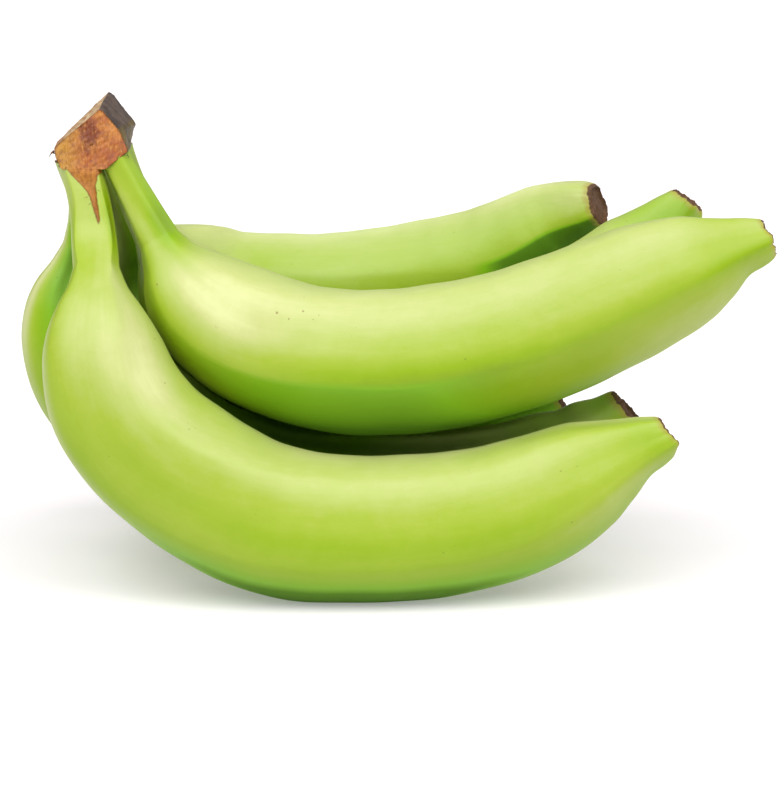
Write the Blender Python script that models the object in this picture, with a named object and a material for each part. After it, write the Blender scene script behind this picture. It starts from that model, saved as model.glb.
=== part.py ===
# A hand of six unripe bananas with its piece of crown, resting on the three outer fingers.
# +X runs from the crown to the free ends, +Y from the front fingers to the back ones, and +Z is up.
# The origin lies on the resting surface, under the middle of the hand's outline.

import math

import bmesh
import bpy
import numpy as np
from mathutils import Vector

# Driving dimensions, in millimetres unless a name says otherwise
MM = 0.001
HAND = "banana_hand"
MIDDLE = (0.2, 5.8)
GAP = 0.3
MERGED = 1e-5
SHARP_EDGE = 35.0

# Lofted skin
SIDES = 20
RINGS = 54
END_CROWDING = 0.06
SPLINE_STEPS = 800
SIDE_SQUEEZE = 0.93
RIDGE_SHARPNESS = 1.3
RIDGE_MEAN = 0.42
RIDGE_ON_STALK = 0.11
RIDGE_ON_FRUIT = 0.065
STALK_OVERRUN = 5.0
STALK_FLARE = 0.3
STALK_WAIST_AT = 0.45
RIDGES = 5
RIDGE_PLACES = (0.0, 0.27, 0.57, 1.0)

# Radius along the fruit, from the end of its stalk (0) to its blossom end (1), as a share of the largest
FRUIT_PROFILE = (
    (0.00, 0.29), (0.03, 0.40), (0.055, 0.55), (0.085, 0.70), (0.12, 0.81), (0.20, 0.92),
    (0.32, 0.975), (0.44, 1.00), (0.55, 0.985), (0.66, 0.96), (0.77, 0.91), (0.84, 0.83),
    (0.885, 0.73), (0.92, 0.58), (0.95, 0.46), (0.975, 0.375), (1.00, 0.27),
)
NECK_START = 0.88

# Blossom end
RIM_RAGGED = 0.45
SCAR_WIDTH = 0.78
SCAR_DEPTH = 0.9
SCAR_LIP = 0.3

# Crown: outlines across the hand as (x, z) at its front and back, and the planes that the knife left
CROWN_FRONT = (
    (-87.3, 114.2), (-75.4, 124.6), (-74.0, 124.2), (-69.6, 118.4), (-68.0, 113.4),
    (-73.9, 108.6), (-85.3, 108.6), (-86.4, 111.4),
)
CROWN_REAR = (
    (-87.6, 114.8), (-76.2, 125.8), (-74.4, 125.4), (-68.7, 117.0), (-70.4, 111.45),
    (-73.9, 108.6), (-87.6, 108.6), (-88.2, 111.4),
)
CROWN_SEATS = (4, 5, 6)
CROWN_SECTIONS = ((0.0, 0.0), (0.3, 0.4), (0.7, 0.4), (1.0, -0.3))
CROWN_BACK = 15.5
KNIFE_LEAN = 0.36
KNIFE_HEIGHT = 108.0
KNIFE_FRONT = -17.6
TONGUE_END = 94.5
TONGUE_TOP = 112.0
TONGUE_SIDES = (-90.0, -70.0)
TONGUE_DEPTH = 8.0
OUTER_SEAT = ((-79.0, 108.6), (0.0, 1.0))
INNER_SEAT = ((-73.9, 108.6), (-0.631, 0.776))

# Each finger: its axis from the crown to the blossom end, the stalk's length, its radius at the crown,
# the fruit's largest radius, the neck's fullness, and where its first ridge lies
# at the crown, a quarter along, half along and at the blossom end, in degrees
FINGERS = {
    "finger_outer_front": {
        "axis": (
            (-80.4, -14.0, 108.5), (-77.9, -16.8, 99.5), (-76.0, -24.0, 88.5), (-74.8, -34.0, 69.5),
            (-69.0, -37.5, 49.0), (-53.0, -38.8, 32.5), (-32.0, -39.0, 21.5), (-8.0, -39.0, 18.5),
            (15.0, -38.5, 20.0), (35.5, -37.5, 25.5), (53.5, -36.5, 34.5), (70.5, -36.0, 42.5),
        ),
        "stalk": 28.0, "stalk_top": 5.3, "stalk_waist": 5.1, "girth": 19.4, "neck": 1.0,
        "ridge": (207.0, 229.0, 215.0, 199.0), "seat": OUTER_SEAT, "rests": True,
    },
    "finger_outer_middle": {
        "axis": (
            (-83.2, -1.5, 108.5), (-81.2, -2.0, 99.0), (-81.8, -3.0, 85.5), (-84.0, -3.0, 70.0),
            (-80.3, -3.0, 54.0), (-67.5, -3.0, 38.5), (-50.5, -3.0, 26.0), (-27.5, -3.0, 19.0),
            (-3.0, -3.0, 17.8), (15.5, -3.0, 19.0), (32.0, -3.0, 22.5), (45.0, -3.0, 28.5),
            (56.0, -3.0, 36.0), (62.5, -3.0, 43.5),
        ),
        "stalk": 22.0, "stalk_top": 5.4, "stalk_waist": 4.5, "girth": 18.6, "neck": 1.0,
        "ridge": (222.0, 226.0, 218.0, 208.0), "seat": OUTER_SEAT, "rests": True,
    },
    "finger_outer_back": {
        "axis": (
            (-81.4, 8.4, 108.5), (-78.0, 9.4, 98.5), (-76.8, 13.8, 88.0), (-79.5, 22.3, 74.0),
            (-81.5, 28.3, 59.0), (-73.0, 32.5, 42.5), (-57.5, 33.5, 29.5), (-37.5, 33.5, 20.5),
            (-14.0, 33.5, 17.4), (10.0, 33.0, 19.0), (31.0, 32.0, 26.0), (49.0, 32.0, 36.0),
        ),
        "stalk": 30.0, "stalk_top": 4.8, "stalk_waist": 4.5, "girth": 18.4, "neck": 1.0,
        "ridge": (220.0, 224.0, 218.0, 212.0), "seat": OUTER_SEAT, "rests": True,
    },
    "finger_inner_front": {
        "axis": (
            (-71.2, -13.0, 109.8), (-66.1, -15.0, 100.5), (-60.0, -18.0, 89.5), (-52.5, -20.5, 78.0),
            (-41.0, -22.5, 68.5), (-24.0, -24.0, 62.0), (-1.0, -25.0, 60.0), (26.5, -25.0, 64.5),
            (53.5, -25.0, 74.5), (76.5, -25.0, 84.5), (96.5, -25.0, 92.0),
        ),
        "stalk": 23.0, "stalk_top": 3.9, "stalk_waist": 4.5, "girth": 19.0, "neck": 1.0,
        "ridge": (214.0, 201.0, 192.0, 186.0), "seat": INNER_SEAT, "rests": False,
    },
    "finger_inner_middle": {
        "axis": (
            (-72.7, -1.0, 109.5), (-69.0, 1.0, 100.5), (-62.8, 4.0, 87.0), (-55.0, 7.0, 73.0),
            (-44.0, 9.0, 60.5), (-25.0, 10.5, 53.5), (-1.0, 11.0, 52.0), (24.0, 11.0, 55.5),
            (46.5, 10.5, 65.0), (65.0, 10.0, 80.0), (79.5, 9.0, 97.0),
        ),
        "stalk": 23.0, "stalk_top": 3.8, "stalk_waist": 4.4, "girth": 18.2, "neck": 1.0,
        "ridge": (214.0, 206.0, 198.0, 192.0), "seat": INNER_SEAT, "rests": False,
    },
    "finger_inner_back": {
        "axis": (
            (-73.0, 12.0, 109.5), (-70.6, 19.0, 98.5), (-64.5, 33.0, 82.5), (-55.5, 45.5, 71.0),
            (-45.0, 50.0, 66.0), (-32.5, 51.0, 64.3), (-17.5, 50.5, 64.0), (-0.5, 49.5, 66.5),
            (16.5, 47.0, 70.5), (33.5, 43.0, 78.5), (46.0, 38.5, 87.2), (55.5, 31.0, 94.0),
        ),
        "stalk": 32.0, "stalk_top": 3.7, "stalk_waist": 4.4, "girth": 18.2, "neck": 1.26,
        "ridge": (224.0, 222.0, 220.0, 216.0), "seat": INNER_SEAT, "rests": False,
    },
}


def clear_scene():
    for old in list(bpy.data.objects):
        bpy.data.objects.remove(old, do_unlink=True)


def make_material(name, color, roughness):
    material = bpy.data.materials.new(name)
    material.use_nodes = True
    shader = material.node_tree.nodes["Principled BSDF"]
    shader.inputs["Base Color"].default_value = (*color, 1.0)
    shader.inputs["Roughness"].default_value = roughness
    shader.inputs["Metallic"].default_value = 0.0
    return material


def spline_through(points):
    """A natural cubic spline through the points, as many small steps and the distance run at each."""
    knots = np.array(points, float)
    spans = np.linalg.norm(np.diff(knots, axis=0), axis=1)
    reached = np.concatenate(([0.0], np.cumsum(spans)))
    last = len(knots) - 1
    system = np.eye(last + 1)
    pull = np.zeros((last + 1, 3))
    for k in range(1, last):
        system[k, k - 1:k + 2] = (spans[k - 1], 2 * (spans[k - 1] + spans[k]), spans[k])
        pull[k] = 6 * ((knots[k + 1] - knots[k]) / spans[k] - (knots[k] - knots[k - 1]) / spans[k - 1])
    bend = np.linalg.solve(system, pull)
    steps = np.linspace(0.0, reached[-1], SPLINE_STEPS)
    part = np.clip(np.searchsorted(reached, steps, side="right") - 1, 0, last - 1)
    ahead = (steps - reached[part])[:, None]
    behind = (reached[part + 1] - steps)[:, None]
    span = spans[part][:, None]
    curve = (bend[part] * behind**3 + bend[part + 1] * ahead**3) / (6 * span)
    curve += (knots[part] / span - bend[part] * span / 6) * behind
    curve += (knots[part + 1] / span - bend[part + 1] * span / 6) * ahead
    run = np.concatenate(([0.0], np.cumsum(np.linalg.norm(np.diff(curve, axis=0), axis=1))))
    return curve, run


def smooth_between(at, knots):
    """A monotone cubic curve through (position, value) knots, read at the given positions."""
    place, value = np.array(knots, float).T
    step = np.diff(place)
    slope = np.diff(value) / step
    lean = np.zeros(len(place))
    lean[0] = slope[0]
    lean[-1] = slope[-1]
    for k in range(1, len(place) - 1):
        if slope[k - 1] * slope[k] > 0:
            lean[k] = 2 * slope[k - 1] * slope[k] / (slope[k - 1] + slope[k])
    part = np.clip(np.searchsorted(place, at, side="right") - 1, 0, len(step) - 1)
    share = np.clip((at - place[part]) / step[part], 0.0, 1.0)
    rise = share * share * (3 - 2 * share)
    low = share * (1 - share) ** 2 * step[part] * lean[part]
    high = share * share * (share - 1) * step[part] * lean[part + 1]
    return value[part] * (1 - rise) + value[part + 1] * rise + low + high


def radius_along(finger, run, length):
    """Stalk radius up to the fruit, then the fruit's profile, with the neck made fuller where asked."""
    stalk = finger["stalk"]
    along_fruit = np.clip((run - stalk) / (length - stalk), 0.0, 1.0)
    fullness = 1 + (finger["neck"] - 1) * np.clip((along_fruit - NECK_START) / (1 - NECK_START), 0, 1)
    fruit = smooth_between(along_fruit, FRUIT_PROFILE) * finger["girth"] * fullness
    root = FRUIT_PROFILE[0][1] * finger["girth"]
    top = finger["stalk_top"]
    stalk_knots = (
        (-STALK_OVERRUN, top + STALK_FLARE), (0.0, top),
        (STALK_WAIST_AT * stalk, finger["stalk_waist"]), (stalk, root),
    )
    return np.where(run < stalk, smooth_between(run, stalk_knots), fruit)


def ring_stations(length):
    """Places of the rings along the axis, closer together toward both ends."""
    even = np.linspace(0.0, 1.0, RINGS)
    crowded = even - END_CROWDING * np.sin(2 * math.pi * even)
    return crowded * (length + STALK_OVERRUN) - STALK_OVERRUN


def lofted_rings(finger):
    """Rings of skin points, in millimetres, and the axis directions at them."""
    curve, run = spline_through(finger["axis"])
    length = run[-1]
    stations = ring_stations(length)
    centres = np.stack([np.interp(stations, run, curve[:, k]) for k in range(3)], axis=-1)
    start = (curve[0] - curve[1]) / np.linalg.norm(curve[0] - curve[1])
    overrun = np.clip(-stations, 0.0, None)[:, None]
    centres = centres + start * overrun
    along = np.gradient(centres, axis=0)
    along /= np.linalg.norm(along, axis=1)[:, None]
    across = np.array((0.0, 1.0, 0.0)) - along[:, 1:2] * along
    across /= np.linalg.norm(across, axis=1)[:, None]
    above = np.cross(along, across)
    radius = radius_along(finger, stations, length)
    share = np.clip(stations / length, 0.0, 1.0)
    first_ridge = np.radians(smooth_between(share, tuple(zip(RIDGE_PLACES, finger["ridge"]))))
    fruit_share = np.clip((stations - finger["stalk"]) / finger["stalk"], 0.0, 1.0)
    height = RIDGE_ON_STALK + (RIDGE_ON_FRUIT - RIDGE_ON_STALK) * fruit_share
    turn = np.arange(SIDES) * 2 * math.pi / SIDES
    angle = first_ridge[:, None] + turn[None, :]
    ridges = 1 - np.abs(np.sin(RIDGES * turn / 2)) ** RIDGE_SHARPNESS - RIDGE_MEAN
    reach = radius[:, None] * (1 + height[:, None] * ridges[None, :])
    sideways = (reach * np.cos(angle) * SIDE_SQUEEZE)[:, :, None] * across[:, None, :]
    upward = (reach * np.sin(angle))[:, :, None] * above[:, None, :]
    return centres, along, centres[:, None, :] + sideways + upward


def blossom_rings(centres, along, rings):
    """The ragged rim of the blossom end and the shallow dark scar inside it."""
    turn = np.arange(SIDES) * 2 * math.pi / SIDES
    ragged = RIM_RAGGED * (np.sin(3 * turn + 1.0) + 0.7 * np.sin(7 * turn))
    end = rings[-1] + ragged[:, None] * along[-1]
    scar = centres[-1] + SCAR_WIDTH * (rings[-1] - centres[-1]) - SCAR_LIP * along[-1]
    middle = centres[-1] - SCAR_DEPTH * along[-1]
    return end, scar, middle


def mesh_of_rings(finger):
    """One closed skin: the rings, the blossom end, and an open top that the crown's plane trims."""
    centres, along, rings = lofted_rings(finger)
    end, scar, middle = blossom_rings(centres, along, rings)
    skin = bmesh.new()
    loops = [[skin.verts.new(Vector(point)) for point in ring] for ring in [*rings[:-1], end, scar]]
    for near, far in zip(loops, loops[1:]):
        for k in range(SIDES):
            after = (k + 1) % SIDES
            skin.faces.new((near[k], far[k], far[after], near[after]))
    centre = skin.verts.new(Vector(middle))
    for k in range(SIDES):
        skin.faces.new((loops[-1][k], centre, loops[-1][(k + 1) % SIDES]))
    skin.faces.new(loops[0])
    bmesh.ops.recalc_face_normals(skin, faces=skin.faces)
    return skin


def slice_off(skin, point, outward):
    """Removes what lies past a plane and closes the cut with one flat face."""
    everything = skin.verts[:] + skin.edges[:] + skin.faces[:]
    bmesh.ops.bisect_plane(
        skin, geom=everything, dist=MERGED, plane_co=point, plane_no=outward, clear_outer=True
    )
    rim = [edge for edge in skin.edges if edge.is_boundary]
    bmesh.ops.holes_fill(skin, edges=rim, sides=0)


def object_from(skin, name, material, collection):
    """A millimetre mesh, moved over the origin, scaled to metres and shaded smooth."""
    bmesh.ops.translate(skin, verts=skin.verts, vec=(-MIDDLE[0], -MIDDLE[1], 0.0))
    bmesh.ops.scale(skin, verts=skin.verts, vec=(MM, MM, MM))
    bmesh.ops.recalc_face_normals(skin, faces=skin.faces)
    mesh = bpy.data.meshes.new(name)
    skin.to_mesh(mesh)
    skin.free()
    if material:
        mesh.materials.append(material)
    mesh.shade_smooth()
    mesh.set_sharp_from_angle(angle=math.radians(SHARP_EDGE))
    made = bpy.data.objects.new(name, mesh)
    collection.objects.link(made)
    return made


def make_finger(name, finger, material, collection):
    skin = mesh_of_rings(finger)
    (seat_x, seat_z), (normal_x, normal_z) = finger["seat"]
    point = (seat_x - GAP * normal_x, 0.0, seat_z - GAP * normal_z)
    slice_off(skin, point, (normal_x, 0.0, normal_z))
    if finger["rests"]:
        slice_off(skin, (0.0, 0.0, 0.0), (0.0, 0.0, -1.0))
    return object_from(skin, name, material, collection)


def knife_front(height):
    """How far forward the knife's cut face stands at a height."""
    return KNIFE_FRONT + (height - KNIFE_HEIGHT) * KNIFE_LEAN


def make_tongue_cutter(collection):
    """A block whose back face carries the crown's cut face on down the front finger's stalk."""
    block = bmesh.new()
    corners = []
    for height in (TONGUE_END, TONGUE_TOP):
        for x in TONGUE_SIDES:
            for back in (knife_front(height), knife_front(height) - TONGUE_DEPTH):
                corners.append(block.verts.new((x, back, height)))
    bmesh.ops.convex_hull(block, input=corners)
    cutter = object_from(block, "tongue_cutter", None, collection)
    cutter.hide_render = True
    cutter.display_type = "WIRE"
    return cutter


def cut_tongue(finger, cutter):
    cut = finger.modifiers.new("knife_cut", "BOOLEAN")
    cut.operation = "DIFFERENCE"
    cut.object = cutter


def make_crown(material, collection):
    """The cut crown: a short length of stem tissue, sliced at the front and trimmed at the back."""
    block = bmesh.new()
    loops = []
    for share, swell in CROWN_SECTIONS:
        outline = np.array(CROWN_FRONT) * (1 - share) + np.array(CROWN_REAR) * share
        outward = outline - outline.mean(axis=0)
        outward /= np.linalg.norm(outward, axis=1)[:, None]
        outward[CROWN_SEATS, :] = 0.0
        outline = outline + swell * outward
        front = knife_front(outline[:, 1])
        depth = front + share * (CROWN_BACK - front)
        loops.append([block.verts.new((x, y, z)) for (x, z), y in zip(outline, depth)])
    sides = len(CROWN_FRONT)
    for near, far in zip(loops, loops[1:]):
        for k in range(sides):
            after = (k + 1) % sides
            block.faces.new((near[k], far[k], far[after], near[after]))
    block.faces.new(loops[0])
    block.faces.new(loops[-1])
    return object_from(block, "crown", material, collection)


def main():
    clear_scene()
    scene = bpy.context.scene
    scene.unit_settings.system = "METRIC"
    parts = bpy.data.collections.new(HAND)
    cutters = bpy.data.collections.new("cutters")
    scene.collection.children.link(parts)
    scene.collection.children.link(cutters)
    peel = make_material("green_peel", (0.40, 0.58, 0.10), 0.42)
    cut_stem = make_material("cut_crown", (0.42, 0.20, 0.06), 0.75)
    made = {name: make_finger(name, finger, peel, parts) for name, finger in FINGERS.items()}
    cut_tongue(made["finger_outer_front"], make_tongue_cutter(cutters))
    make_crown(cut_stem, parts)


main()
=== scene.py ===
import math

import bpy
import numpy as np
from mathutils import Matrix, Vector


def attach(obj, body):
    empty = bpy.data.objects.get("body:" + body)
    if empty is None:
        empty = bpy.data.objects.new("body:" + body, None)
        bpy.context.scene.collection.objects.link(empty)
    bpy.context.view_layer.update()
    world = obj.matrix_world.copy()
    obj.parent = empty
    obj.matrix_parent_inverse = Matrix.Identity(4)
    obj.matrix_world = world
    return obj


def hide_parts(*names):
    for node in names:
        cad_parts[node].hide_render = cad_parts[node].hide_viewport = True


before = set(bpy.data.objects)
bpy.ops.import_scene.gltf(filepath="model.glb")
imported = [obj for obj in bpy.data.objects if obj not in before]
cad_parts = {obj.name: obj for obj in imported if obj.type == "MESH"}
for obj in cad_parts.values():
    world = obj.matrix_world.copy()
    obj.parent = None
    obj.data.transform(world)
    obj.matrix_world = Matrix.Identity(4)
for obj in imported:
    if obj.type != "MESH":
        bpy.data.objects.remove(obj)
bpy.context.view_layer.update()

# A hand of six unripe bananas on a pale floor. Lengths are millimetres unless a comment says otherwise.
MM = 0.001
# Where the frame's origin lies in these lengths
MIDDLE = (0.2, 5.8)

# Fineness of a finger's skin and of its axis, and how close the rings crowd at its ends
SIDES = 128
RINGS = 300
END_CROWDING = 0.085
DENSE = 1600
SPLINE_STEPS = 800
AXIS_SMOOTHING = 12

# Form of a finger: narrower sideways, with five ridges over a round section
SIDE_SQUEEZE = 0.93
RIDGES = 5
RIDGE_SHARPNESS = 1.3
RIDGE_MEAN = 0.42
RIDGE_ON_STALK = 0.11
RIDGE_ON_FRUIT = 0.065
RIDGE_ON_NECK = 0.12
RIDGE_NECK_AT = (0.80, 0.95)
# How unevenly the ridges stand: (amount, waves around, shift by the seed, waves along)
RIDGE_UNEVENNESS = ((0.22, 1.0, 1.9, 2.0), (0.12, 2.0, 4.1, 0.0))
# Low lumps of the skin: (amount, half waves along, shift by the seed, waves around)
LUMPS = ((0.006, 7.0, 1.0, 1.0), (0.004, 15.0, 2.3, -2.0), (0.003, 27.0, 1.3, 3.0))
STALK_OVERRUN = 5.0
STALK_FLARE = 0.3
STALK_WAIST_AT = 0.45
# Share of the fruit's length and share of its girth
FRUIT_PROFILE = (
    (0.00, 0.29), (0.03, 0.40), (0.055, 0.55), (0.085, 0.70), (0.12, 0.81), (0.20, 0.92),
    (0.32, 0.975), (0.44, 1.00), (0.55, 0.985), (0.66, 0.96), (0.77, 0.91), (0.84, 0.83),
    (0.885, 0.73), (0.92, 0.58), (0.95, 0.46), (0.975, 0.375), (1.00, 0.27),
)
NECK_START = 0.87
REST_HEIGHT = 1.5
REST_ROUNDING = 0.22

# Top end of a stalk, where the crown sits on it
SEAT_OVERLAP = 0.5
SEAT_BLEND = 20.0
SEAT_SEARCH = 14.0
SEAT_STEPS = 600

# Blossom end: how far back the ragged rim and its tilt reach, the rounded lip, and the rim's small teeth
# as (height, number of them, shift by the seed)
RIM_BLEND = 5.0
TILT_BLEND = 16.0
LIP_LENGTH = 1.3
LIP_ROUNDING = 0.55
RIM_TEETH = ((0.10, 9, 1), (0.07, 17, 2), (0.05, 31, 3))
# Dried scar inside the rim: (share of the rim's radius, depth below the rim)
SCAR = (
    (0.985, 0.0), (0.965, 0.12), (0.94, 0.4), (0.90, 0.75), (0.83, 0.95), (0.74, 1.0),
    (0.62, 0.95), (0.50, 0.85), (0.38, 0.8), (0.27, 0.85), (0.17, 0.7), (0.09, 0.55), (0.03, 0.5),
)
SCAR_FLATNESS = 0.8
# Its pits: (depth, number of them, shift by the seed)
SCAR_PITS = ((0.12, 5, 1), (0.09, 11, 0))

# Crown: outline in front and at the back as (x, z), points on each edge, rings along it and on its caps
CROWN_FRONT = (
    (-87.4, 114.0), (-75.7, 123.7), (-75.0, 123.5), (-70.3, 118.3), (-67.9, 113.1),
    (-73.9, 108.6), (-85.3, 108.6), (-86.9, 111.4),
)
CROWN_REAR = (
    (-87.6, 114.8), (-76.0, 126.1), (-75.1, 125.9), (-68.7, 117.4), (-70.6, 112.2),
    (-73.9, 108.6), (-87.6, 108.6), (-88.2, 111.4),
)
CROWN_COUNTS = (45, 3, 22, 16, 22, 33, 9, 9)
CROWN_DEPTHS = 76
CROWN_CAPS = 26
CROWN_BACK = 15.5
CROWN_BULGE = 0.35
# How far the edges of the two caps are worn down, and how deep the back cap is hollowed
WORN_FRONT = 0.25
WORN_BACK = 0.5
BACK_HOLLOW = 0.7
# Heights between which the detail of the cut face fades in over the stalks
FACE_FADE = (108.7, 111.0)
# Roughness of the bark: (height, size, seed)
BARK_ROUGHNESS = ((0.16, 7.0, 11), (0.09, 2.5, 12), (0.05, 1.0, 13))

# The knife's cut: a leaning plane over the crown's front that curls out of the front stalk
KNIFE_LEAN = 0.36
KNIFE_HEIGHT = 108.0
KNIFE_FRONT = -17.6
KNIFE_LEAVES = 97.0
KNIFE_REACH = 14.0
KNIFE_CURL = 0.045
KNIFE_ROUNDING = 0.25
KNIFE_SIDE = -8.0
KNIFE_DEPTH = 2.5
OFF_CUT = -5.0
# Outline of the torn brown tongue on the front stalk, as (x, z) on the knife's plane, how deep it sinks,
# and the heights between which that fades out under the crown
TONGUE = (
    (-86.5, 110.5), (-84.1, 109.0), (-82.2, 106.8), (-80.5, 105.2), (-78.3, 102.7), (-77.3, 100.3),
    (-76.7, 98.3), (-75.4, 95.2), (-75.2, 96.7), (-75.9, 100.8), (-76.4, 104.5), (-75.8, 107.0),
    (-74.6, 108.0), (-72.0, 110.5),
)
TONGUE_DEPTH = 0.4
TONGUE_FADE = (105.0, 108.0)

# Torn strands of the cut: foot, way, length, thickness and bend sideways
STRANDS = (
    ((-87.2, -15.6, 113.2), (-0.85, -0.30, -0.42), 2.2, 0.30, 0.5),
    ((-87.0, -15.4, 112.6), (-0.9, -0.2, -0.1), 1.3, 0.22, -0.4),
    ((-78.3, -20.3, 101.8), (-0.7, -0.5, 0.1), 1.1, 0.09, 0.3),
    ((-77.5, -20.9, 100.2), (-0.6, -0.6, -0.5), 0.9, 0.08, -0.3),
    ((-76.1, -21.8, 97.4), (0.3, -0.6, -0.8), 1.6, 0.10, 0.3),
    ((-75.6, -20.5, 103.6), (0.7, -0.5, -0.4), 1.0, 0.08, 0.2),
    ((-84.0, -17.2, 109.2), (-0.4, -0.6, -0.6), 1.2, 0.10, 0.3),
    ((-68.4, -15.6, 112.2), (0.7, -0.4, -0.6), 1.3, 0.13, -0.3),
)
STRAND_RINGS = 9
STRAND_SIDES = 8

# Planes that the crown's underside sits on, each as a point and a way up, both (x, z)
OUTER_SEAT = ((-79.0, 108.6), (0.0, 1.0))
INNER_SEAT = ((-73.9, 108.6), (-0.631, 0.776))

# What a finger has unless it says otherwise
PLAIN_FINGER = {
    "rests": False, "knifed": False, "neck": 1.0, "tilt": (0.0, 0.0), "ridge_shade_line": 0.1,
    "facet": (0.0, 0.1, 0.2, 0.8, 0.9, 0.0), "painted_light_green": (),
}
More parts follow.
